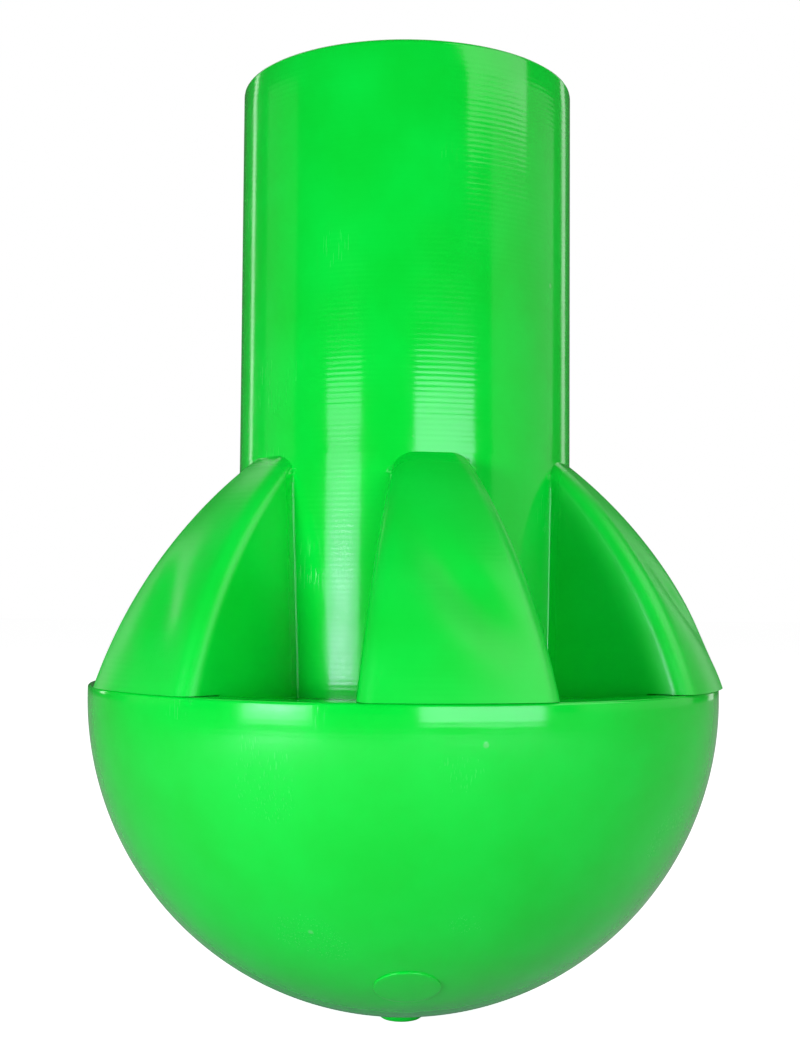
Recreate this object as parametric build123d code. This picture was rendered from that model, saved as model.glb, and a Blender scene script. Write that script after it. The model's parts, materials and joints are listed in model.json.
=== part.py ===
from build123d import *
import math
import os

# Pipette filler bulb: a rigid ribbed stem over a springy hemispherical dome, with a soft
# pipette sleeve and a small air filter inside the stem's mouth.
# Millimetres. +Z runs along the stem and out of its mouth. The origin is the centre of the
# stem's rim, so nearly everything lies below z = 0. One rib is centred on the -Y side.

# ---- driving dimensions ----
BALL_R = 30.0             # outside radius of the dome, and of the ball that the ribs complete
STEM_R = 16.05            # outside radius of the stem's tube, from its rim to the ribs' tops
TUBE_FOOT_R = 16.30       # between the ribs the tube widens down to this: draft for the mould
STEM_LENGTH = 57.4        # rim down to the ledge, where the ribs and the dome meet
BALL_CENTRE_DROP = 1.0    # the ball's centre below the ledge

RIB_COUNT = 6
RIB_ANGLE = 32.4          # at its foot each rib is a sector this wide, in degrees
RIB_DRAFT = 3.0           # its sides lean in by this many degrees, for the mould
RIB_BASE_R = 30.35        # a rib's foot stands slightly proud of the dome
RIB_HEIGHT = 20.8         # ledge up to where a rib's back runs into the tube
RIB_BACK_R = 44.0         # radius of the arc of a rib's back
RIB_EDGE_R = 1.6          # rounding along the edges of a rib's back
FLOOR_RECESS = 0.7        # the floor between the ribs lies this far below the ledge

SLEEVE_BORE_R = 13.20     # the stem's bore, from the rim down to the sleeve's shoulder
SHOULDER_DEPTH = 29.5     # the shoulder below the rim
CHAMBER_R = 12.0          # the stem's bore below the shoulder
DECK_THICKNESS = 2.8      # floor of the chamber, just below the ledge
AIR_HOLE_R = 4.0          # passage between the chamber and the dome

SPIGOT_R = 26.4           # round plug under the deck, which the dome's rim grips
SPIGOT_HEIGHT = 5.4
SPIGOT_WALL = 2.8
GROOVE_DEPTH = 1.0        # groove round the spigot, for the dome's bead
GROOVE_TOP = 1.8          # below the ledge
GROOVE_BOTTOM = 4.4
EDGE_CHAMFER = 0.4

DOME_WALL = 2.6
DOME_RIM_HEIGHT = 6.4     # the thick part of the dome's wall, round the spigot
BEAD_TOP = 2.8            # the bead fills the lower part of the groove
BEAD_BOTTOM = 4.3
GATE_R = 2.1              # moulding-gate pad at the dome's pole
GATE_HEIGHT = 1.1

SLEEVE_RECESS = 1.5       # the sleeve's face below the rim
SLEEVE_SKIRT_WALL = 2.2
SLEEVE_WEB = 3.0          # the sleeve's face plate
SEAL_GROOVE_DEPTH = 0.5   # two grooves round the skirt leave three sealing lands
SEAL_GROOVE_HEIGHT = 4.0
PIPETTE_R = 3.8           # grips the suction end of a 5 to 25 ml pipette
PIPETTE_GRIP = 14.0
LEAD_IN_R = 6.2
GRIP_TUBE_R = 6.8         # outside of the sleeve's inner tube
SOCKET_TUBE_R = 5.3       # the inner tube narrows to this round the socket
SOCKET_R = 2.9            # socket for the filter's inlet nipple, below the pipette's stop
SOCKET_DEPTH = 7.0

FILTER_DROP = 0.3         # the filter's case below the socket's end
FILTER_R = 9.5
FILTER_SHELL = 2.6        # height of each half of the filter's case
FILTER_FLOOR = 1.4
FILTER_RIB_COUNT = 8      # stiffening ribs on each half's outer face
FILTER_RIB_WIDTH = 0.8
FILTER_RIB_HEIGHT = 0.5
FILTER_RIB_START_R = 6.0
FILTER_RIB_END_R = 8.9
NIPPLE_BORE_R = 1.2
NIPPLE_LENGTH = 6.5
MEMBRANE_R = 8.6
MEMBRANE_THICKNESS = 0.4
MEMBRANE_SHELF = 1.5      # how far the lower half's rim reaches under the membrane

FIT_GAP = 0.05            # radial clearance between pieces that part
SEAM_GAP = 0.05           # the dome's rim below the ribs' feet
CUT_PAST = 1.0            # how far a cutting tool runs past the surface that it opens

# ---- worked-out places ----
LEDGE_Z = -STEM_LENGTH
RIB_TOP_Z = LEDGE_Z + RIB_HEIGHT
FLOOR_Z = LEDGE_Z - FLOOR_RECESS
BALL_CENTRE_Z = LEDGE_Z - BALL_CENTRE_DROP
POLE_Z = BALL_CENTRE_Z - BALL_R
SHOULDER_Z = -SHOULDER_DEPTH
SLEEVE_TOP_Z = -SLEEVE_RECESS
SLEEVE_R = SLEEVE_BORE_R - FIT_GAP
LEAD_IN_Z = SLEEVE_TOP_Z - SLEEVE_WEB
STOP_Z = LEAD_IN_Z - PIPETTE_GRIP
SOCKET_END_Z = STOP_Z - SOCKET_DEPTH
FILTER_TOP_Z = SOCKET_END_Z - FILTER_DROP
FILTER_MID_Z = FILTER_TOP_Z - FILTER_SHELL
FILTER_END_Z = FILTER_MID_Z - FILTER_SHELL
NIPPLE_R = SOCKET_R - FIT_GAP


def ball_radius_at(z, ball_r=BALL_R):
    """Radius of the ball's horizontal section at height z."""
    return math.sqrt(ball_r**2 - (z - BALL_CENTRE_Z) ** 2)


def turned(edges):
    """The solid of revolution about Z of a closed outline, drawn in the XZ plane."""
    return revolve(make_face(edges), axis=Axis.Z)


def turned_polygon(*points):
    """The solid of revolution of a polygon of (radius, z) points."""
    return turned(Polyline(*[(r, 0, z) for r, z in points], close=True))


def ring(inner_r, outer_r, low_z, high_z):
    return turned_polygon((inner_r, low_z), (outer_r, low_z), (outer_r, high_z), (inner_r, high_z))


def disc(outer_r, low_z, high_z):
    return Pos(0, 0, low_z) * Cylinder(
        outer_r, high_z - low_z, align=(Align.CENTER, Align.CENTER, Align.MIN)
    )


def rib_back_circle():
    """Centre (radius, z) of the circle that a rib's back follows, through its foot and its top."""
    foot = Vector(RIB_BASE_R, LEDGE_Z)
    top = Vector(STEM_R, RIB_TOP_Z)
    chord = top - foot
    middle = (foot + top) * 0.5
    inward = Vector(-chord.Y, chord.X).normalized()
    reach = math.sqrt(RIB_BACK_R**2 - (chord.length / 2) ** 2)
    return middle + inward * reach


def rib_wedge(radius, low_z, height, draft):
    """The sector that holds one rib, centred on the -Y side. Its sides lean in by the draft."""
    half = math.radians(RIB_ANGLE / 2)
    corner = (radius * math.sin(half), -radius * math.cos(half))
    outline = Polyline((0, 0), (-corner[0], corner[1]), corner, close=True)
    return Pos(0, 0, low_z) * extrude(make_face(outline), amount=height, taper=draft)


def rib():
    """One rib, centred on the -Y side. Its root is buried in the tube's wall."""
    centre = rib_back_circle()
    root_r = (STEM_R + SLEEVE_BORE_R) / 2
    root_z = centre.Y + math.sqrt(RIB_BACK_R**2 - (root_r - centre.X) ** 2)
    foot = (RIB_BASE_R, 0, LEDGE_Z)
    root_top = (root_r, 0, root_z)
    slope = math.radians(45)
    on_back = (
        centre.X + RIB_BACK_R * math.cos(slope),
        0,
        centre.Y + RIB_BACK_R * math.sin(slope),
    )
    root_foot = (root_r, 0, LEDGE_Z)
    all_round = turned([
        ThreePointArc(foot, on_back, root_top),
        Line(root_top, root_foot),
        Line(root_foot, foot),
    ])
    sector = all_round & rib_wedge(2 * RIB_BASE_R, LEDGE_Z, RIB_HEIGHT + CUT_PAST, RIB_DRAFT)
    back_edges = sector.edges().filter_by(
        lambda e: abs((e @ 1).Z - (e @ 0).Z) > RIB_HEIGHT / 2
        and math.hypot((e @ 0.5).X, (e @ 0.5).Y) > STEM_R
    )
    return fillet(back_edges, RIB_EDGE_R)


def stem_housing():
    """Tube, six ribs, the deck that closes the tube, and the grooved spigot under it."""
    tube = turned_polygon(
        (0, 0), (STEM_R, 0), (STEM_R, RIB_TOP_Z), (TUBE_FOOT_R, FLOOR_Z), (0, FLOOR_Z)
    )
    deck = disc(SPIGOT_R, LEDGE_Z - DECK_THICKNESS, FLOOR_Z)
    spigot = turned_polygon(
        (SPIGOT_R - SPIGOT_WALL, LEDGE_Z - SPIGOT_HEIGHT),
        (SPIGOT_R - EDGE_CHAMFER, LEDGE_Z - SPIGOT_HEIGHT),
        (SPIGOT_R, LEDGE_Z - SPIGOT_HEIGHT + EDGE_CHAMFER),
        (SPIGOT_R, LEDGE_Z - DECK_THICKNESS),
        (SPIGOT_R - SPIGOT_WALL, LEDGE_Z - DECK_THICKNESS),
    )
    body = tube + deck + spigot
    root = disc(SPIGOT_R, FLOOR_Z, LEDGE_Z) & rib_wedge(2 * SPIGOT_R, FLOOR_Z, FLOOR_RECESS, 0)
    whole_rib = rib() + root
    for number in range(RIB_COUNT):
        body += Rot(0, 0, number * 360 / RIB_COUNT) * whole_rib
    groove = ring(
        SPIGOT_R - GROOVE_DEPTH,
        SPIGOT_R + CUT_PAST,
        LEDGE_Z - GROOVE_BOTTOM,
        LEDGE_Z - GROOVE_TOP,
    )
    sleeve_bore = disc(SLEEVE_BORE_R, SHOULDER_Z, CUT_PAST)
    chamber = disc(CHAMBER_R, LEDGE_Z, SHOULDER_Z)
    air_hole = disc(AIR_HOLE_R, LEDGE_Z - DECK_THICKNESS - CUT_PAST, LEDGE_Z)
    return body - groove - sleeve_bore - chamber - air_hole


def squeeze_dome():
    """Springy bowl: a thick rim with an inward bead round the spigot, and a thinner wall below."""
    inner_r = BALL_R - DOME_WALL
    grip_r = SPIGOT_R + FIT_GAP
    bead_r = SPIGOT_R - GROOVE_DEPTH + FIT_GAP
    rim_z = LEDGE_Z - SEAM_GAP
    step_z = LEDGE_Z - DOME_RIM_HEIGHT
    pole_inside = BALL_CENTRE_Z - inner_r
    slope = math.radians(-45)

    def on_arc(radius):
        return (radius * math.cos(slope), 0, BALL_CENTRE_Z + radius * math.sin(slope))

    outline = [
        ThreePointArc((0, 0, POLE_Z), on_arc(BALL_R), (ball_radius_at(rim_z), 0, rim_z)),
        Polyline(
            (ball_radius_at(rim_z), 0, rim_z),
            (grip_r, 0, rim_z),
            (grip_r, 0, LEDGE_Z - BEAD_TOP),
            (bead_r, 0, LEDGE_Z - BEAD_TOP),
            (bead_r, 0, LEDGE_Z - BEAD_BOTTOM),
            (grip_r, 0, LEDGE_Z - BEAD_BOTTOM),
            (grip_r, 0, step_z),
            (ball_radius_at(step_z, inner_r), 0, step_z),
        ),
        ThreePointArc(
            (ball_radius_at(step_z, inner_r), 0, step_z), on_arc(inner_r), (0, 0, pole_inside)
        ),
        Line((0, 0, pole_inside), (0, 0, POLE_Z)),
    ]
    gate_pad = disc(GATE_R, POLE_Z - GATE_HEIGHT, POLE_Z + DOME_WALL / 2)
    return turned(outline) + gate_pad


def pipette_sleeve():
    """Soft plug that fills the mouth: a face plate, an outer skirt and an inner grip tube."""
    skirt_r = SLEEVE_R - SLEEVE_SKIRT_WALL
    body = turned_polygon(
        (LEAD_IN_R, SLEEVE_TOP_Z),
        (SLEEVE_R - EDGE_CHAMFER, SLEEVE_TOP_Z),
        (SLEEVE_R, SLEEVE_TOP_Z - EDGE_CHAMFER),
        (SLEEVE_R, SHOULDER_Z),
        (skirt_r, SHOULDER_Z),
        (skirt_r, LEAD_IN_Z),
        (GRIP_TUBE_R, LEAD_IN_Z),
        (GRIP_TUBE_R, STOP_Z),
        (SOCKET_TUBE_R, SOCKET_END_Z),
        (SOCKET_R, SOCKET_END_Z),
        (SOCKET_R, STOP_Z),
        (PIPETTE_R, STOP_Z),
        (PIPETTE_R, LEAD_IN_Z),
    )
    land = (SHOULDER_DEPTH - SLEEVE_RECESS - 2 * SEAL_GROOVE_HEIGHT) / 3
    for number in (1, 2):
        low_z = SHOULDER_Z + number * land + (number - 1) * SEAL_GROOVE_HEIGHT
        body -= ring(
            SLEEVE_R - SEAL_GROOVE_DEPTH, SLEEVE_R + CUT_PAST, low_z, low_z + SEAL_GROOVE_HEIGHT
        )
    return body


def filter_ribs(low_z):
    """Short ribs that stand on a filter shell's face like spokes, from low_z up."""
    length = FILTER_RIB_END_R - FILTER_RIB_START_R
    spoke = Pos(FILTER_RIB_START_R, 0, low_z) * Box(
        length, FILTER_RIB_WIDTH, FILTER_RIB_HEIGHT, align=(Align.MIN, Align.CENTER, Align.MIN)
    )
    return [Rot(0, 0, n * 360 / FILTER_RIB_COUNT) * spoke for n in range(FILTER_RIB_COUNT)]


def filter_inlet_shell():
    """Upper half of the filter's case, with the nipple that plugs into the sleeve."""
    body = turned_polygon(
        (NIPPLE_BORE_R, FILTER_TOP_Z + NIPPLE_LENGTH),
        (NIPPLE_R, FILTER_TOP_Z + NIPPLE_LENGTH),
        (NIPPLE_R, FILTER_TOP_Z),
        (FILTER_R, FILTER_TOP_Z),
        (FILTER_R, FILTER_MID_Z),
        (MEMBRANE_R, FILTER_MID_Z),
        (MEMBRANE_R, FILTER_TOP_Z - FILTER_FLOOR),
        (NIPPLE_BORE_R, FILTER_TOP_Z - FILTER_FLOOR),
    )
    for spoke in filter_ribs(FILTER_TOP_Z):
        body += spoke
    return body


def filter_outlet_shell():
    """Lower half of the filter's case: its rim carries the membrane."""
    floor_z = FILTER_END_Z + FILTER_FLOOR
    shelf_r = MEMBRANE_R - MEMBRANE_SHELF
    body = turned_polygon(
        (NIPPLE_BORE_R, FILTER_END_Z - NIPPLE_LENGTH),
        (NIPPLE_R, FILTER_END_Z - NIPPLE_LENGTH),
        (NIPPLE_R, FILTER_END_Z),
        (FILTER_R, FILTER_END_Z),
        (FILTER_R, FILTER_MID_Z),
        (shelf_r, FILTER_MID_Z),
        (shelf_r, floor_z),
        (NIPPLE_BORE_R, floor_z),
    )
    for spoke in filter_ribs(FILTER_END_Z - FILTER_RIB_HEIGHT):
        body += spoke
    return body


def filter_membrane():
    """Water-repellent disc that lets air through and stops liquid."""
    return disc(MEMBRANE_R, FILTER_MID_Z, FILTER_MID_Z + MEMBRANE_THICKNESS)


PIECES = {
    "stem_housing": stem_housing,
    "squeeze_dome": squeeze_dome,
    "pipette_sleeve": pipette_sleeve,
    "filter_inlet_shell": filter_inlet_shell,
    "filter_outlet_shell": filter_outlet_shell,
    "filter_membrane": filter_membrane,
}

os.makedirs("parts", exist_ok=True)
for name, make in PIECES.items():
    export_step(make(), f"parts/{name}.step")
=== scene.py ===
import json
import math

import bmesh
import bpy
import numpy as np
from mathutils import Euler, Matrix, Vector


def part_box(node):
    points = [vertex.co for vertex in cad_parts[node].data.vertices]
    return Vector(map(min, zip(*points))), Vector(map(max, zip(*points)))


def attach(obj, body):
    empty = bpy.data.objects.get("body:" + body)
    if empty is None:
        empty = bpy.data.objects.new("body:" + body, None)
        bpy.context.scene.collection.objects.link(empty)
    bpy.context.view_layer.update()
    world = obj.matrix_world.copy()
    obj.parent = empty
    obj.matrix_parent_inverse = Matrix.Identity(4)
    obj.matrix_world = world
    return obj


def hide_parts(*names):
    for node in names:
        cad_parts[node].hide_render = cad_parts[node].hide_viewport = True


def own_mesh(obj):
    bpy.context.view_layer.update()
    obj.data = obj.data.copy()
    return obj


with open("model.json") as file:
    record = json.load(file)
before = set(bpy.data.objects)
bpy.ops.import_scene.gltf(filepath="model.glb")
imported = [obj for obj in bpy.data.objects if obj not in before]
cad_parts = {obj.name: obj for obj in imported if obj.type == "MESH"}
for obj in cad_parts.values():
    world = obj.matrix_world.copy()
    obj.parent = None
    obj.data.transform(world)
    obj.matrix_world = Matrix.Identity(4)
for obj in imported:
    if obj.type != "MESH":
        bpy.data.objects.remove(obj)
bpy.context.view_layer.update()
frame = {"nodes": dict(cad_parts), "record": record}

# Looks of the pipette filler bulb. Metres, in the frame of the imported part: the origin is the
# centre of the stem's rim, +Z runs out of the mouth, and one rib is centred on the -Y side.

MM = 0.001

# ---- places read from the frame ----
MOUNTS = {m["name"]: m for m in frame["record"]["mounts"]}
STEM_LOW, STEM_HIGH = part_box("stem_housing")
DOME_LOW, DOME_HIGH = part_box("squeeze_dome")
SLEEVE_LOW, SLEEVE_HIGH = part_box("pipette_sleeve")
SEAM_GAP = 0.05 * MM
FIT_GAP = 0.05 * MM
RIM_Z = STEM_HIGH.z
LEDGE_Z = DOME_HIGH.z + SEAM_GAP
SPIGOT_END_Z = STEM_LOW.z
SHOULDER_Z = SLEEVE_LOW.z
STEM_R = MOUNTS["stem_tube"]["dims"]["r_mm"] * MM
RIB_TOP_Z = RIM_Z - MOUNTS["stem_tube"]["dims"]["length_mm"] * MM
SLEEVE_BORE_R = SLEEVE_HIGH.x + FIT_GAP
PIPETTE_R = MOUNTS["pipette_bore"]["dims"]["r_mm"] * MM
PIPETTE_GRIP = MOUNTS["pipette_bore"]["dims"]["length_mm"] * MM

# ---- shape of the stem ----
BALL_R = 30.0 * MM
BALL_CENTRE_Z = LEDGE_Z - 1.0 * MM
RIB_COUNT = 6
RIB_HALF = math.radians(16.2)
RIB_DRAFT = math.radians(3.0)  # its sides lean in by this, going up
RIB_BASE_R = 30.35 * MM
RIB_BACK_R = 44.0 * MM
RIB_EDGE_R = 1.6 * MM
RIB_ROOT_R = 0.18 * MM        # fillet where a rib's side meets the tube
TUBE_FOOT_R = 16.30 * MM      # the tube widens to this at the floor, between the ribs
FLOOR_Z = LEDGE_Z - 0.7 * MM   # the floor between the ribs
CHAMBER_R = 12.0 * MM
AIR_HOLE_R = 4.0 * MM
DECK_THICKNESS = 2.8 * MM
SPIGOT_R = 26.4 * MM
SPIGOT_WALL = 2.8 * MM
GROOVE_DEPTH = 1.0 * MM
GROOVE_TOP = 1.8 * MM
GROOVE_BOTTOM = 4.4 * MM
RIM_ROUND = 0.4 * MM
SINK_DEPTH = 0.75 * MM        # hollow in each rib's back, over its thickest part
SINK_HALF_WIDTH = 1.9 * MM
SINK_HALF_LENGTH = 5.0 * MM
SINK_HEIGHT = 8.2 * MM        # its middle above the ledge
SINK_SIDE = 0.4 * MM          # its middle off the middle of the rib
SINK_LEAN_DEGREES = 38
SINK_REACH = 26 * MM          # distance from the axis at which an angle is turned into a length

# ---- shape of the dome ----
DOME_WALL = 2.6 * MM
DOME_RIM_HEIGHT = 6.4 * MM
BEAD_TOP = 2.8 * MM
BEAD_BOTTOM = 4.3 * MM
GATE_R = 2.1 * MM
GATE_END_Z = DOME_LOW.z
PAD_R = 2.75 * MM             # low round ejector pad on the bowl
PAD_HEIGHT = 0.15 * MM
PAD_ROUND = 0.1 * MM
PAD_ELEVATION = math.radians(-51.4)
PAD_AZIMUTH = math.radians(-7.4)

# ---- shape of the sleeve ----
SLEEVE_SKIRT_WALL = 2.2 * MM
SLEEVE_WEB = 3.0 * MM
SEAL_GROOVE_DEPTH = 0.5 * MM
SEAL_GROOVE_HEIGHT = 4.0 * MM
LEAD_IN_R = 6.2 * MM
GRIP_TUBE_R = 6.8 * MM
SOCKET_TUBE_R = 5.3 * MM
SOCKET_R = 2.9 * MM
SOCKET_DEPTH = 7.0 * MM

# ---- looks ----
GREEN_DEEP = (0.0, 0.57, 0.022, 1)
GREEN_LIGHT = (0.0, 0.63, 0.031, 1)
DUST_COLOUR = (0.35, 0.55, 0.30, 1)
LINE_PITCH = 0.48 * MM        # the mould's turned lines
STEM_LINE_DEPTH = 0.004 * MM
DOME_LINE_DEPTH = 0.0015 * MM
GREEN_ROUGHNESS = (0.09, 0.15)
WORN_ROUGHNESS = 0.25         # added in the hairline scratches
RIB_ROUGHNESS = 0.20          # added outside the tube
SPECK_SPACING = 9 * MM
DUST_SHARE = 0.25

# ---- viewpoint, from the frame's front ----
VIEW_TURN = math.radians(-8.8)
VIEW_TILT = math.radians(2.83)
VIEW_ROLL = math.radians(0.41)
VIEW_DISTANCE = 140.3 * MM
VIEW_SIDE = -0.41 * MM
VIEW_HEIGHT = 7.73 * MM       # above the ledge
VIEW_LENS = 48.68

# ---- light: radiances, where plain white paper in full light is 1 ----
LIT_POINT = Vector((0, 0, LEDGE_Z + 5 * MM))
PANEL_DISTANCE = 190 * MM     # the upright panels stand close, behind the camera
PANEL_SPAN = (-22 * MM, 55 * MM)       # heights from the ledge
LOW_PANEL_SPAN = (-14 * MM, 26 * MM)
SOFTBOX_DISTANCE = 0.6
KEY = 3.1
KEY_LOW = 33.0
SECOND = 4.7
HIGH_RIGHT = 1.9
RIM_LEFT = 2.2
RIM_RIGHT = 1.2
BACK = 1.2                    # only the views from behind need it
SIDE_LEFT = 0.22
SIDE_RIGHT = 0.5
ROOM = 0.07
PANEL_COLOUR = (0.90, 1.0, 1.30)
FLOOR_SEEN = 0.95             # what the floor adds to itself for the camera alone


# ======== outlines ========

def arc(centre, radius, start, end, steps):
    """Points (r, z) on a circle round centre, from angle start to angle end."""
    angles = np.linspace(start, end, steps + 1)
    return [(centre[0] + radius * math.cos(a), centre[1] + radius * math.sin(a)) for a in angles]


def rounded(corners, steps=4):
    """An open outline through (r, z, rounding) corners, with an arc at each rounded one."""
    outline = []
    for number, (r, z, rounding) in enumerate(corners):
        here = Vector((r, z))
        if rounding == 0 or number in (0, len(corners) - 1):
            outline.append((r, z))
            continue
        back = (Vector(corners[number - 1][:2]) - here).normalized()
        on = (Vector(corners[number + 1][:2]) - here).normalized()
        half = back.angle(on) / 2
        centre = here + (back + on).normalized() * rounding / math.sin(half)
        first = here + back * rounding / math.tan(half) - centre
        last = here + on * rounding / math.tan(half) - centre
        start = math.atan2(first.y, first.x)
        turn = math.remainder(math.atan2(last.y, last.x) - start, 2 * math.pi)
        outline += arc(centre, rounding, start, start + turn, steps)
    return outline


def spread(outline, longest):
    """The outline with points added so that no run is over the longest length."""
    result = [outline[0]]
    for (r0, z0), (r1, z1) in zip(outline[:-1], outline[1:]):
        parts = max(1, math.ceil(math.hypot(r1 - r0, z1 - z0) / longest))
        for part in range(1, parts + 1):
            share = part / parts
            result.append((r0 + (r1 - r0) * share, z0 + (z1 - z0) * share))
    return result


# ======== meshes ========

def turned_mesh(bm, outline, angles, closed=False):
    """Adds the surface that an (r, z) outline sweeps about Z. Returns its rows of vertices."""
    rows = []
    for r, z in outline:
        if r < 1e-9:
            rows.append([bm.verts.new((0, 0, z))] * len(angles))
        else:
            rows.append([bm.verts.new((r * math.sin(a), -r * math.cos(a), z)) for a in angles])
    pairs = list(zip(rows[:-1], rows[1:]))
    if closed:
        pairs.append((rows[-1], rows[0]))
    for low, high in pairs:
        for column in range(len(angles)):
            after = (column + 1) % len(angles)
            corners = [low[column], low[after], high[after], high[column]]
            unique = list(dict.fromkeys(corners))
            if len(unique) > 2:
                bm.faces.new(unique)
    return rows


def all_round(columns):
    return [2 * math.pi * column / columns for column in range(columns)]


def finished_object(name, bm, material, sharp_degrees=32):
    """The bmesh as an object, welded, with its normals outward and smooth shading."""
    bmesh.ops.remove_doubles(bm, verts=bm.verts, dist=1e-7)
    bmesh.ops.dissolve_degenerate(bm, edges=bm.edges, dist=1e-8)
    bmesh.ops.recalc_face_normals(bm, faces=bm.faces)
    mesh = bpy.data.meshes.new(name)
    bm.to_mesh(mesh)
    bm.free()
    mesh.shade_smooth()
    mesh.set_sharp_from_angle(angle=math.radians(sharp_degrees))
    mesh.materials.append(material)
    piece = bpy.data.objects.new(name, mesh)
    bpy.context.scene.collection.objects.link(piece)
    return piece


# ---- stem ----

def rib_back_centre():
    """Centre (r, z) of the arc of a rib's back, which runs from its foot to its top."""
    foot = Vector((RIB_BASE_R, LEDGE_Z))
    top = Vector((STEM_R, RIB_TOP_Z))
    chord = top - foot
    inward = Vector((-chord.y, chord.x)).normalized()
    reach = math.sqrt(RIB_BACK_R**2 - (chord.length / 2) ** 2)
    return (foot + top) / 2 + inward * reach


BACK_CENTRE = rib_back_centre()


def back_radius(z):
    """Distance of a rib's back from the axis at height z."""
    return BACK_CENTRE.x + math.sqrt(RIB_BACK_R**2 - (z - BACK_CENTRE.y) ** 2)


def back_height(radius):
    """Height at which a rib's back is that far from the axis."""
    return BACK_CENTRE.y + math.sqrt(RIB_BACK_R**2 - (radius - BACK_CENTRE.x) ** 2)


POCKET_STEPS, ROOT_STEPS, SIDE_STEPS, EDGE_STEPS, BACK_STEPS = 8, 4, 8, 8, 10
SPIGOT_STEP = 6               # the point of the side that lies over the spigot's edge


def tube_radius(z):
    """Outside radius of the tube at height z, at or below the ribs' tops."""
    return STEM_R + (TUBE_FOOT_R - STEM_R) * (RIB_TOP_Z - z) / (RIB_TOP_Z - FLOOR_Z)


def side_lean(z):
    """How far a rib's side has leant in, at height z, from where it stands at the ledge."""
    return max(0.0, z - LEDGE_Z) * math.tan(RIB_DRAFT)


def half_section(back_r, tube_r, lean, side_shares):
    """Half a rib's outline at one height, from the middle of a pocket to the middle of the rib:
    (angle from the rib's middle, radius) points. Its side is flat, and has leant in by lean."""
    edge_r = RIB_EDGE_R
    reach = back_r - edge_r
    edge_y = lean + edge_r
    edge_turn = math.asin(edge_y / reach)
    edge_x = reach * math.cos(edge_turn)
    tube_x = math.sqrt(tube_r**2 - lean**2)
    root_r = max(0.0, min(RIB_ROOT_R, (edge_x - tube_x) / 2))
    flat = []                 # (along the side's foot, across it towards the rib's middle)
    if edge_x > tube_x:
        root_y = lean - root_r
        root_x = math.sqrt((tube_r + root_r) ** 2 - root_y**2)
        pocket_end = math.atan2(root_y, root_x)
        for angle in np.linspace(math.pi + pocket_end, math.pi / 2, ROOT_STEPS + 1):
            flat.append((root_x + root_r * math.cos(angle), root_y + root_r * math.sin(angle)))
        for share in side_shares[1:]:
            flat.append((root_x + (edge_x - root_x) * share, lean))
        first_turn = -math.pi / 2
    else:
        cosine = (tube_r**2 - reach**2 - edge_r**2) / (2 * edge_r * reach)
        first_turn = edge_turn - math.acos(min(1.0, cosine))
        start = (edge_x + edge_r * math.cos(first_turn), edge_y + edge_r * math.sin(first_turn))
        pocket_end = math.atan2(start[1], start[0])
        flat = [start] * (ROOT_STEPS + SIDE_STEPS + 1)
    for angle in np.linspace(first_turn, edge_turn, EDGE_STEPS + 1)[1:]:
        flat.append((edge_x + edge_r * math.cos(angle), edge_y + edge_r * math.sin(angle)))
    pocket_half = math.pi / RIB_COUNT - RIB_HALF
    section = [(a, tube_r) for a in np.linspace(-pocket_half, pocket_end, POCKET_STEPS + 1)[:-1]]
    section += [(math.atan2(v, u), math.hypot(u, v)) for u, v in flat]
    section += [(a, back_r) for a in np.linspace(edge_turn, RIB_HALF, BACK_STEPS + 1)[1:]]
    return [(angle - RIB_HALF, radius) for angle, radius in section]


def sink(rib_number, angle, z):
    """Depth of the sink mark on a rib's back: a long leaning hollow, a little different in place
    and lean on each rib."""
    lean = math.radians(SINK_LEAN_DEGREES + 9 * math.sin(2.4 * rib_number))
    side = SINK_SIDE + 0.5 * MM * math.sin(1.7 * rib_number)
    height = SINK_HEIGHT + 0.8 * MM * math.cos(3.1 * rib_number)
    across = angle * SINK_REACH - side
    along = z - LEDGE_Z - height
    u = across * math.cos(lean) + along * math.sin(lean)
    v = -across * math.sin(lean) + along * math.cos(lean)
    return SINK_DEPTH * math.exp(-((u / SINK_HALF_WIDTH) ** 2) - (v / SINK_HALF_LENGTH) ** 2)


def stem_rows():
    """(height, half section) rows from the ledge up to the rim."""
    root_x = math.sqrt((tube_radius(LEDGE_Z) + RIB_ROOT_R) ** 2 - RIB_ROOT_R**2)
    foot_reach = RIB_BASE_R - RIB_EDGE_R
    foot_x = math.sqrt(foot_reach**2 - RIB_EDGE_R**2)
    spigot_share = (SPIGOT_R - root_x) / (foot_x - root_x)
    shares = list(np.linspace(0, spigot_share, SPIGOT_STEP + 1))
    shares += list(np.linspace(spigot_share, 1, SIDE_STEPS - SPIGOT_STEP + 1)[1:])
    rows = []
    round_z = back_height(STEM_R + RIB_EDGE_R)
    for z in np.linspace(LEDGE_Z, round_z, 34):
        rows.append((z, half_section(back_radius(z), tube_radius(z), side_lean(z), shares)))
    for turn in np.linspace(math.pi / 2, 0, 13)[1:]:
        back_r = STEM_R + RIB_EDGE_R * (1 - math.cos(turn))
        z = back_height(back_r)
        rows.append((z, half_section(back_r, tube_radius(z), side_lean(z), shares)))
    plain = rows[-1][1]
    for z in np.linspace(RIB_TOP_Z, RIM_Z - RIM_ROUND, 16)[1:]:
        rows.append((z, plain))
    for turn in np.linspace(0, math.pi / 2, 5)[1:]:
        inset = RIM_ROUND * (1 - math.cos(turn))
        lowered = [(angle, radius - inset) for angle, radius in plain]
        rows.append((RIM_Z - RIM_ROUND + RIM_ROUND * math.sin(turn), lowered))
    return rows


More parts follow.
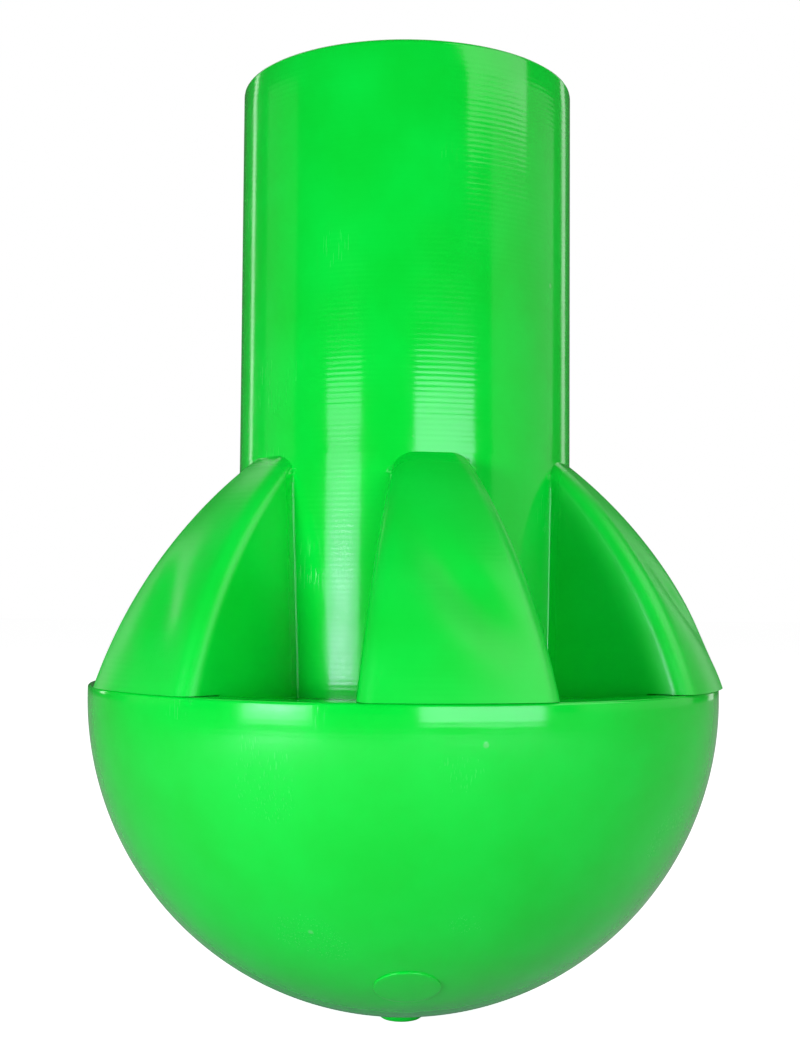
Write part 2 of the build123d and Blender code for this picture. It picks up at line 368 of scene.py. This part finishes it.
def stitch(bm, outer, inner):
    """Joins two rings of vertices about Z, of any counts, with triangles."""
    def turn(vertex):
        return math.atan2(vertex.co.x, -vertex.co.y)

    outer = sorted(outer, key=turn)
    inner = sorted(inner, key=turn)
    i = j = 0
    while i < len(outer) or j < len(inner):
        next_outer = turn(outer[(i + 1) % len(outer)]) + 2 * math.pi * ((i + 1) // len(outer))
        next_inner = turn(inner[(j + 1) % len(inner)]) + 2 * math.pi * ((j + 1) // len(inner))
        a, b = outer[i % len(outer)], inner[j % len(inner)]
        if j >= len(inner) or (i < len(outer) and next_outer <= next_inner):
            bm.faces.new((a, outer[(i + 1) % len(outer)], b))
            i += 1
        else:
            bm.faces.new((a, inner[(j + 1) % len(inner)], b))
            j += 1


def stem_object(material):
    """The stem: a grid of rows round the tube and ribs, the bores and spigot inside it, flat feet
    at the ledge, and the pockets' floors a little lower."""
    bm = bmesh.new()
    pitch = 2 * math.pi / RIB_COUNT
    rows = stem_rows()
    half_count = len(rows[0][1])
    grid = []
    for z, half in rows:
        row = []
        for number in range(RIB_COUNT):
            middle = number * pitch
            mirrored = [(-angle, radius) for angle, radius in reversed(half)][1:-1]
            for angle, radius in half + mirrored:
                depth = 0.0
                if z < RIB_TOP_Z and radius > STEM_R + RIB_EDGE_R:
                    on_back = max(0.0, 1 - abs(angle) / (RIB_HALF * 0.97))
                    depth = sink(number, angle, z) * min(1.0, 6 * on_back)
                turned = middle + angle
                out = radius - depth
                row.append(bm.verts.new((out * math.sin(turned), -out * math.cos(turned), z)))
        grid.append(row)
    count = len(grid[0])
    for low, high in zip(grid[:-1], grid[1:]):
        for column in range(count):
            after = (column + 1) % count
            bm.faces.new((low[column], low[after], high[after], high[column]))

    rib_steps, pocket_steps = 14, 12
    angles = []
    for number in range(RIB_COUNT):
        middle = number * pitch
        angles += list(np.linspace(middle - RIB_HALF, middle + RIB_HALF, rib_steps + 1)[:-1])
        pocket = np.linspace(middle + RIB_HALF, middle + pitch - RIB_HALF, pocket_steps + 1)
        angles += list(pocket[:-1])
    inside = rounded([
        (SLEEVE_BORE_R + RIM_ROUND, RIM_Z, 0),
        (SLEEVE_BORE_R, RIM_Z, RIM_ROUND * 0.99),
        (SLEEVE_BORE_R, SHOULDER_Z, 0),
        (CHAMBER_R, SHOULDER_Z, 0.3 * MM),
        (CHAMBER_R, LEDGE_Z, 0.8 * MM),
        (AIR_HOLE_R, LEDGE_Z, 0.4 * MM),
        (AIR_HOLE_R, LEDGE_Z - DECK_THICKNESS, 0.4 * MM),
        (SPIGOT_R - SPIGOT_WALL, LEDGE_Z - DECK_THICKNESS, 0.6 * MM),
        (SPIGOT_R - SPIGOT_WALL, SPIGOT_END_Z, 0.3 * MM),
        (SPIGOT_R, SPIGOT_END_Z, 0.5 * MM),
        (SPIGOT_R, LEDGE_Z - GROOVE_BOTTOM, 0),
        (SPIGOT_R - GROOVE_DEPTH, LEDGE_Z - GROOVE_BOTTOM, 0.2 * MM),
        (SPIGOT_R - GROOVE_DEPTH, LEDGE_Z - GROOVE_TOP, 0.2 * MM),
        (SPIGOT_R, LEDGE_Z - GROOVE_TOP, 0),
        (SPIGOT_R, FLOOR_Z, 0),
    ])
    inner_rows = turned_mesh(bm, inside, angles)
    bmesh.ops.remove_doubles(bm, verts=grid[-1], dist=1e-7)
    rim_outer = [v for v in grid[-1] if v.is_valid]
    stitch(bm, rim_outer, inner_rows[0])

    spigot_top = inner_rows[-1]
    per_period = rib_steps + pocket_steps
    per_rib = count // RIB_COUNT
    side_at = POCKET_STEPS + ROOT_STEPS + SPIGOT_STEP
    far_side_at = 2 * (half_count - 1) - side_at
    foot_row = grid[0]
    for number in range(RIB_COUNT):
        first = number * per_rib
        start = number * per_period
        here = [spigot_top[(start + i) % len(spigot_top)] for i in range(per_period + 1)]
        raised = [bm.verts.new((v.co.x, v.co.y, LEDGE_Z)) for v in here[1:rib_steps]]
        foot = [foot_row[first + i] for i in range(side_at, far_side_at + 1)]
        bm.faces.new(foot + raised[::-1])
        step = [foot[0]] + raised + [foot[-1]]
        for column in range(rib_steps):
            bm.faces.new((here[column], here[column + 1], step[column + 1], step[column]))
        wall = [
            foot_row[(first + far_side_at + i) % count]
            for i in range(per_rib - far_side_at + side_at + 1)
        ]
        lowered = [bm.verts.new((v.co.x, v.co.y, FLOOR_Z)) for v in wall[1:-1]]
        lowered = [here[rib_steps]] + lowered + [here[per_period]]
        for column in range(len(wall) - 1):
            bm.faces.new((lowered[column], lowered[column + 1], wall[column + 1], wall[column]))
        floor = here[rib_steps + 1:per_period]
        bm.faces.new(lowered + floor[::-1])
    bmesh.ops.triangulate(bm, faces=[f for f in bm.faces if len(f.verts) > 4])
    return finished_object("stem", bm, material)


# ---- dome ----

def ball_radius(z, ball_r=BALL_R):
    return math.sqrt(ball_r**2 - (z - BALL_CENTRE_Z) ** 2)


def dome_object(material):
    """The bowl with its bead, and the round pads left by its moulding gate and its ejector."""
    inner_r = BALL_R - DOME_WALL
    grip_r = SPIGOT_R + FIT_GAP
    bead_r = SPIGOT_R - GROOVE_DEPTH + FIT_GAP
    rim_z = DOME_HIGH.z
    rim_start_z = rim_z - 0.8 * MM
    step_z = LEDGE_Z - DOME_RIM_HEIGHT
    centre = (0, BALL_CENTRE_Z)
    pad_z = BALL_CENTRE_Z - math.sqrt(BALL_R**2 - GATE_R**2)
    outline = rounded([
        (0, GATE_END_Z, 0),
        (GATE_R, GATE_END_Z, 0.35 * MM),
        (GATE_R, pad_z, 0),
    ])
    first = -math.acos(GATE_R / BALL_R)
    last = math.asin((rim_start_z - BALL_CENTRE_Z) / BALL_R)
    outline += arc(centre, BALL_R, first, last, 72)[1:]
    outline += rounded([
        (ball_radius(rim_start_z), rim_start_z, 0),
        (ball_radius(rim_z), rim_z, 0.25 * MM),
        (grip_r, rim_z, 0.25 * MM),
        (grip_r, LEDGE_Z - BEAD_TOP, 0),
        (bead_r, LEDGE_Z - BEAD_TOP, 0.25 * MM),
        (bead_r, LEDGE_Z - BEAD_BOTTOM, 0.25 * MM),
        (grip_r, LEDGE_Z - BEAD_BOTTOM, 0),
        (grip_r, step_z, 0.3 * MM),
        (ball_radius(step_z, inner_r), step_z, 0),
    ])[1:]
    inner_first = math.asin((step_z - BALL_CENTRE_Z) / inner_r)
    outline += arc(centre, inner_r, inner_first, -math.pi / 2, 48)[1:]
    outline[-1] = (0, outline[-1][1])
    bm = bmesh.new()
    turned_mesh(bm, outline, all_round(180))
    dome = finished_object("dome", bm, material)
    union(dome, ejector_pad(material))
    return dome


def ejector_pad(material):
    """A low round pad on the bowl, just proud of it, with a rounded edge."""
    bm = bmesh.new()
    proud = BALL_R + PAD_HEIGHT
    turn = PAD_R / proud
    outline = [(proud * math.sin(a), proud * math.cos(a)) for a in np.linspace(0, turn, 7)]
    edge_r, edge_z = outline[-1]
    outline += arc((edge_r, edge_z - PAD_ROUND), PAD_ROUND, math.pi / 2, 0, 4)[1:]
    edge_r = outline[-1][0]
    outline += [(edge_r, edge_z - 0.8 * MM), (0, edge_z - 0.8 * MM)]
    outline[0] = (0, proud)
    turned_mesh(bm, outline, all_round(64))
    aim = Euler((0, math.pi / 2 - PAD_ELEVATION, PAD_AZIMUTH - math.pi / 2), "XYZ").to_matrix()
    bm.transform(Matrix.Translation((0, 0, BALL_CENTRE_Z)) @ aim.to_4x4())
    return finished_object("ejector_pad", bm, material)


def union(piece, addition):
    """Joins the addition to the piece as one closed mesh."""
    modifier = piece.modifiers.new("union", "BOOLEAN")
    modifier.operation = "UNION"
    modifier.solver = "EXACT"
    modifier.object = addition
    made = piece.evaluated_get(bpy.context.evaluated_depsgraph_get())
    mesh = bpy.data.meshes.new_from_object(made)
    piece.modifiers.remove(modifier)
    piece.data = mesh
    mesh.shade_smooth()
    mesh.set_sharp_from_angle(angle=math.radians(32))
    bpy.data.objects.remove(addition)


# ---- sleeve ----

def sleeve_object(material):
    """The soft plug: face plate with a lead-in, skirt with two seal grooves, and grip tube."""
    face_z = SLEEVE_HIGH.z
    web_z = face_z - SLEEVE_WEB
    stop_z = web_z - PIPETTE_GRIP
    socket_z = stop_z - SOCKET_DEPTH
    outer_r = SLEEVE_HIGH.x
    groove_r = outer_r - SEAL_GROOVE_DEPTH
    skirt_r = outer_r - SLEEVE_SKIRT_WALL
    land = (face_z - SHOULDER_Z - 2 * SEAL_GROOVE_HEIGHT) / 3
    corners = [(LEAD_IN_R, face_z, 0.5 * MM), (outer_r, face_z, 0.5 * MM)]
    for number in (2, 1):
        low_z = SHOULDER_Z + number * land + (number - 1) * SEAL_GROOVE_HEIGHT
        high_z = low_z + SEAL_GROOVE_HEIGHT
        corners += [
            (outer_r, high_z, 0.2 * MM),
            (groove_r, high_z, 0.2 * MM),
            (groove_r, low_z, 0.2 * MM),
            (outer_r, low_z, 0.2 * MM),
        ]
    corners += [
        (outer_r, SHOULDER_Z, 0.4 * MM),
        (skirt_r, SHOULDER_Z, 0.4 * MM),
        (skirt_r, web_z, 0.8 * MM),
        (GRIP_TUBE_R, web_z, 0.8 * MM),
        (GRIP_TUBE_R, stop_z, 0),
        (SOCKET_TUBE_R, socket_z, 0.4 * MM),
        (SOCKET_R, socket_z, 0.3 * MM),
        (SOCKET_R, stop_z, 0),
        (PIPETTE_R, stop_z, 0.2 * MM),
        (PIPETTE_R, web_z, 0.4 * MM),
    ]
    middle = ((corners[0][0] + corners[1][0]) / 2, face_z, 0)
    outline = rounded([middle] + corners[1:] + [corners[0], middle])
    bm = bmesh.new()
    turned_mesh(bm, spread(outline[:-1], 1.5 * MM), all_round(128), closed=True)
    return finished_object("sleeve", bm, material)


# ======== materials ========

def new_material(name):
    material = bpy.data.materials.new(name)
    material.use_nodes = True
    tree = material.node_tree
    return material, tree, tree.nodes["Principled BSDF"]


def add_node(tree, kind, inputs=None, **settings):
    """A node with its settings made and its inputs set or linked."""
    node = tree.nodes.new(kind)
    for name, value in settings.items():
        setattr(node, name, value)
    for socket, value in (inputs or {}).items():
        if isinstance(value, bpy.types.NodeSocket):
            tree.links.new(value, node.inputs[socket])
        else:
            node.inputs[socket].default_value = value
    return node


def noise(tree, place, feature_size, detail=3.0, stretch=(1, 1, 1), turn=(0, 0, 0)):
    """Noise whose features are about that size, in metres, stretched and turned as asked."""
    shares = tuple(1 / (feature_size * s) for s in stretch)
    mapping = add_node(
        tree, "ShaderNodeMapping", {"Vector": place, "Scale": shares, "Rotation": turn}
    )
    texture = add_node(
        tree,
        "ShaderNodeTexNoise",
        {"Vector": mapping.outputs["Vector"], "Scale": 1.0, "Detail": detail},
    )
    return texture.outputs["Fac"]


def remap(tree, value, from_low, from_high, to_low, to_high):
    node = add_node(
        tree,
        "ShaderNodeMapRange",
        {
            "Value": value,
            "From Min": from_low,
            "From Max": from_high,
            "To Min": to_low,
            "To Max": to_high,
        },
    )
    return node.outputs["Result"]


def math_node(tree, operation, first, second):
    return add_node(tree, "ShaderNodeMath", {0: first, 1: second}, operation=operation).outputs[0]


def blend_colours(tree, share, first, second):
    """Colour from first to second as share goes from 0 to 1."""
    node = add_node(
        tree, "ShaderNodeMix", {"Factor": share, "A": first, "B": second}, data_type="RGBA"
    )
    return node.outputs["Result"]


def stack_bumps(tree, *layers):
    """Bumps of (height, size in metres) pairs, one on top of the other."""
    normal = None
    for height, size in layers:
        inputs = {"Height": height, "Distance": size, "Strength": 1.0}
        if normal is not None:
            inputs["Normal"] = normal
        normal = add_node(tree, "ShaderNodeBump", inputs).outputs["Normal"]
    return normal


def turned_lines(tree, place, pitch):
    """Fine rings round Z, as a lathe leaves in a mould, uneven in depth."""
    rings = add_node(
        tree,
        "ShaderNodeTexWave",
        {
            "Vector": place,
            "Scale": 2 * math.pi / (20 * pitch),
            "Distortion": 0.5,
            "Detail": 2.0,
            "Detail Scale": 1.5,
        },
        wave_type="BANDS",
        bands_direction="Z",
        wave_profile="SIN",
    )
    depth = remap(tree, noise(tree, place, 3 * MM, 2.0, stretch=(6, 6, 0.4)), 0.3, 0.7, 0.25, 1.0)
    return math_node(tree, "MULTIPLY", rings.outputs["Fac"], depth)


def scratches(tree, place, turn):
    """Sparse hairline scratches along one direction, as a mask from 0 to 1."""
    lines = noise(tree, place, 0.12 * MM, 1.0, stretch=(1, 1, 26), turn=turn)
    patches = noise(tree, place, 9 * MM, 1.0)
    present = remap(tree, patches, 0.60, 0.68, 0.0, 1.0)
    return math_node(tree, "MULTIPLY", remap(tree, lines, 0.665, 0.70, 0.0, 1.0), present)


def specks(tree, place):
    """A few pinhead dust specks in the surface, as a mask from 0 to 1."""
    cells = add_node(tree, "ShaderNodeTexVoronoi", {"Vector": place, "Scale": 1 / SPECK_SPACING})
    return remap(tree, cells.outputs["Distance"], 0.020, 0.034, 1.0, 0.0)


def rib_roughness(tree, place, extra):
    """Extra roughness outside the tube: the ribs' cavities are less polished than its own."""
    level = add_node(
        tree, "ShaderNodeVectorMath", {0: place, 1: (1, 1, 0)}, operation="MULTIPLY"
    ).outputs["Vector"]
    radius = add_node(
        tree, "ShaderNodeVectorMath", {0: level}, operation="LENGTH"
    ).outputs["Value"]
    return remap(tree, radius, TUBE_FOOT_R, TUBE_FOOT_R + MM, 0.0, extra)


def green_plastic(name, line_depth, rib_extra):
    """Bright green semi-gloss moulded plastic: faint mottling, uneven gloss, the mould's turned
    lines, hairline scratches and dust specks."""
    material, tree, shader = new_material(name)
    place = add_node(tree, "ShaderNodeTexCoord").outputs["Object"]
    mottling = remap(tree, noise(tree, place, 9 * MM, 4.0), 0.35, 0.65, 0.0, 1.0)
    colour = blend_colours(tree, mottling, GREEN_DEEP, GREEN_LIGHT)
    dust = specks(tree, place)
    colour = blend_colours(tree, math_node(tree, "MULTIPLY", dust, DUST_SHARE), colour, DUST_COLOUR)
    tree.links.new(colour, shader.inputs["Base Color"])
    worn = scratches(tree, place, (0.5, 0.3, 0.2))
    worn = math_node(tree, "MAXIMUM", worn, scratches(tree, place, (-0.6, 0.9, 0.0)))
    gloss = remap(tree, noise(tree, place, 4 * MM, 5.0), 0.3, 0.7, *GREEN_ROUGHNESS)
    gloss = math_node(tree, "ADD", gloss, math_node(tree, "MULTIPLY", worn, WORN_ROUGHNESS))
    gloss = math_node(tree, "ADD", gloss, rib_roughness(tree, place, rib_extra))
    tree.links.new(gloss, shader.inputs["Roughness"])
    normal = stack_bumps(
        tree,
        (turned_lines(tree, place, LINE_PITCH), line_depth),
        (noise(tree, place, 5 * MM, 2.0), 0.012 * MM),
        (noise(tree, place, 0.5 * MM, 2.0), 0.0012 * MM),
        (worn, -0.004 * MM),
        (dust, 0.010 * MM),
    )
    tree.links.new(normal, shader.inputs["Normal"])
    shader.inputs["IOR"].default_value = 1.49
    return material


def white_silicone():
    """Milky, slightly waxy silicone, with a satin face and a faintly clouded tone."""
    material, tree, shader = new_material("white_silicone")
    place = add_node(tree, "ShaderNodeTexCoord").outputs["Object"]
    cloud = remap(tree, noise(tree, place, 5 * MM, 4.0), 0.35, 0.65, 0.0, 1.0)
    colour = blend_colours(tree, cloud, (0.70, 0.69, 0.64, 1), (0.80, 0.79, 0.75, 1))
    tree.links.new(colour, shader.inputs["Base Color"])
    gloss = remap(tree, noise(tree, place, 2 * MM, 4.0), 0.3, 0.7, 0.42, 0.58)
    tree.links.new(gloss, shader.inputs["Roughness"])
    normal = stack_bumps(
        tree,
        (noise(tree, place, 0.9 * MM, 3.0), 0.010 * MM),
        (noise(tree, place, 0.12 * MM, 2.0), 0.004 * MM),
    )
    tree.links.new(normal, shader.inputs["Normal"])
    shader.inputs["Subsurface Weight"].default_value = 0.25
    shader.inputs["Subsurface Radius"].default_value = (1.0, 0.9, 0.8)
    shader.inputs["Subsurface Scale"].default_value = 1.5 * MM
    return material


def filter_plastic():
    """Natural polypropylene: a matt, slightly blue white with a fine spark-eroded grain."""
    material, tree, shader = new_material("filter_plastic")
    place = add_node(tree, "ShaderNodeTexCoord").outputs["Object"]
    cloud = remap(tree, noise(tree, place, 3 * MM, 3.0), 0.35, 0.65, 0.0, 1.0)
    colour = blend_colours(tree, cloud, (0.62, 0.66, 0.68, 1), (0.74, 0.77, 0.78, 1))
    tree.links.new(colour, shader.inputs["Base Color"])
    gloss = remap(tree, noise(tree, place, 1 * MM, 3.0), 0.3, 0.7, 0.45, 0.6)
    tree.links.new(gloss, shader.inputs["Roughness"])
    normal = stack_bumps(tree, (noise(tree, place, 0.10 * MM, 3.0), 0.008 * MM))
    tree.links.new(normal, shader.inputs["Normal"])
    return material


def filter_membrane():
    """Water-repellent membrane: a soft white felt of fine fibres."""
    material, tree, shader = new_material("filter_membrane")
    place = add_node(tree, "ShaderNodeTexCoord").outputs["Object"]
    along = noise(tree, place, 0.05 * MM, 2.0, stretch=(8, 1, 1), turn=(0, 0, 0.6))
    across = noise(tree, place, 0.05 * MM, 2.0, stretch=(8, 1, 1), turn=(0, 0, 2.1))
    fibres = math_node(tree, "MAXIMUM", along, across)
    share = remap(tree, fibres, 0.45, 0.75, 0.0, 1.0)
    colour = blend_colours(tree, share, (0.66, 0.66, 0.64, 1), (0.86, 0.86, 0.84, 1))
    tree.links.new(colour, shader.inputs["Base Color"])
    tree.links.new(remap(tree, fibres, 0.4, 0.8, 0.95, 0.75), shader.inputs["Roughness"])
    tree.links.new(stack_bumps(tree, (fibres, 0.02 * MM)), shader.inputs["Normal"])
    shader.inputs["Sheen Weight"].default_value = 0.2
    return material


def floor_material():
    """Plain white paper. It is brightened for the camera only, so it throws no light upwards."""
    material, tree, shader = new_material("floor")
    place = add_node(tree, "ShaderNodeTexCoord").outputs["Object"]
    share = remap(tree, noise(tree, place, 30 * MM, 2.0), 0.3, 0.7, 0.0, 1.0)
    colour = blend_colours(tree, share, (0.58, 0.58, 0.58, 1), (0.62, 0.62, 0.62, 1))
    tree.links.new(colour, shader.inputs["Base Color"])
    shader.inputs["Roughness"].default_value = 0.9
    shader.inputs["Specular IOR Level"].default_value = 0.1
    shader.inputs["Emission Color"].default_value = (1, 1, 1, 1)
    camera_ray = add_node(tree, "ShaderNodeLightPath").outputs["Is Camera Ray"]
    seen = math_node(tree, "MULTIPLY", camera_ray, FLOOR_SEEN)
    tree.links.new(seen, shader.inputs["Emission Strength"])
    return material


# ======== stage ========

def direction(azimuth_degrees, elevation_degrees):
    """Unit vector from the object towards an azimuth right of the camera and an elevation."""
    azimuth = VIEW_TURN + math.radians(azimuth_degrees)
    elevation = math.radians(elevation_degrees)
    level = math.cos(elevation)
    return Vector((level * math.sin(azimuth), -level * math.cos(azimuth), math.sin(elevation)))


def rectangle_light(name, width, height, radiance, place, towards, colour=(1, 1, 1)):
    """An evenly bright rectangle that faces back along a direction."""
    lamp = bpy.data.lights.new(name, "AREA")
    lamp.shape = "RECTANGLE"
    lamp.size = width
    lamp.size_y = height
    lamp.energy = radiance * math.pi * width * height
    lamp.color = colour
    light = bpy.data.objects.new(name, lamp)
    bpy.context.scene.collection.objects.link(light)
    light.location = place
    light.rotation_euler = towards.to_track_quat("Z", "Y").to_euler()


def panel(name, azimuth, width_degrees, span, radiance):
    """An upright panel close to the object, square to its axis, between two heights."""
    towards = direction(azimuth, 0)
    width = 2 * PANEL_DISTANCE * math.tan(math.radians(width_degrees / 2))
    low, high = span
    place = Vector((0, 0, LEDGE_Z + (low + high) / 2)) + towards * PANEL_DISTANCE
    rectangle_light(name, width, high - low, radiance, place, towards, PANEL_COLOUR)


def softbox(name, azimuth, elevation, width_degrees, height_degrees, radiance):
    """A light further off that spans those angles as seen from the object."""
    towards = direction(azimuth, elevation)
    width = 2 * SOFTBOX_DISTANCE * math.tan(math.radians(width_degrees / 2))
    height = 2 * SOFTBOX_DISTANCE * math.tan(math.radians(height_degrees / 2))
    place = LIT_POINT + towards * SOFTBOX_DISTANCE
    rectangle_light(name, width, height, radiance, place, towards)


def surroundings():
    """A dim even room that the camera sees as a white backdrop."""
    world = bpy.data.worlds.new("surroundings")
    world.use_nodes = True
    bpy.context.scene.world = world
    tree = world.node_tree
    backdrop = tree.nodes["Background"]
    backdrop.inputs["Color"].default_value = (1, 1, 1, 1)
    camera_ray = add_node(tree, "ShaderNodeLightPath").outputs["Is Camera Ray"]
    tree.links.new(remap(tree, camera_ray, 0.0, 1.0, ROOM, 1.0), backdrop.inputs["Strength"])


def floor():
    mesh = bpy.data.meshes.new("floor")
    half = 3.0
    z = GATE_END_Z - 0.02 * MM
    corners = [(-half, -half, z), (half, -half, z), (half, half, z), (-half, half, z)]
    mesh.from_pydata(corners, [], [(0, 1, 2, 3)])
    mesh.materials.append(floor_material())
    ground = bpy.data.objects.new("floor", mesh)
    bpy.context.scene.collection.objects.link(ground)


def viewpoint():
    """Camera just above the ledge and a little left of the front rib, tilted slightly up."""
    data = bpy.data.cameras.new("camera")
    data.sensor_width = 36
    data.lens = VIEW_LENS
    data.clip_start = 0.01
    camera = bpy.data.objects.new("camera", data)
    bpy.context.scene.collection.objects.link(camera)
    turn = Matrix.Rotation(VIEW_TURN, 4, "Z")
    tilt = Matrix.Rotation(math.pi / 2 + VIEW_TILT, 4, "X")
    roll = Matrix.Rotation(VIEW_ROLL, 4, "Z")
    place = turn @ Vector((VIEW_SIDE, -VIEW_DISTANCE, 0)) + Vector((0, 0, LEDGE_Z + VIEW_HEIGHT))
    camera.matrix_world = Matrix.Translation(place) @ turn @ tilt @ roll
    bpy.context.scene.camera = camera


def lights():
    panel("key", -40, 23.5, PANEL_SPAN, KEY)
    panel("key_low", -40, 15, LOW_PANEL_SPAN, KEY_LOW)
    panel("second", 25, 40, PANEL_SPAN, SECOND)
    softbox("high_right", 65, 40, 45, 35, HIGH_RIGHT)
    softbox("side_left", -95, 8, 30, 35, SIDE_LEFT)
    softbox("rim_left", -131, 16, 5, 34, RIM_LEFT)
    softbox("side_right", 90, 8, 60, 35, SIDE_RIGHT)
    softbox("rim_right", 140, 12, 8, 40, RIM_RIGHT)
    softbox("back", 180, 52, 60, 30, BACK)


# ======== the object ========

stem = stem_object(green_plastic("stem_plastic", STEM_LINE_DEPTH, RIB_ROUGHNESS))
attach(stem, "stem")
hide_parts("stem_housing")

dome = dome_object(green_plastic("dome_elastomer", DOME_LINE_DEPTH, 0.0))
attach(dome, "stem")
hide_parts("squeeze_dome")
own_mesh(dome)

sleeve = sleeve_object(white_silicone())
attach(sleeve, "sleeve")
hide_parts("pipette_sleeve")

shell_material = filter_plastic()
for node in ("filter_inlet_shell", "filter_outlet_shell"):
    frame["nodes"][node].data.materials.clear()
    frame["nodes"][node].data.materials.append(shell_material)
frame["nodes"]["filter_membrane"].data.materials.clear()
frame["nodes"]["filter_membrane"].data.materials.append(filter_membrane())

floor()
lights()
surroundings()
viewpoint()
bpy.context.scene.view_settings.view_transform = "Standard"
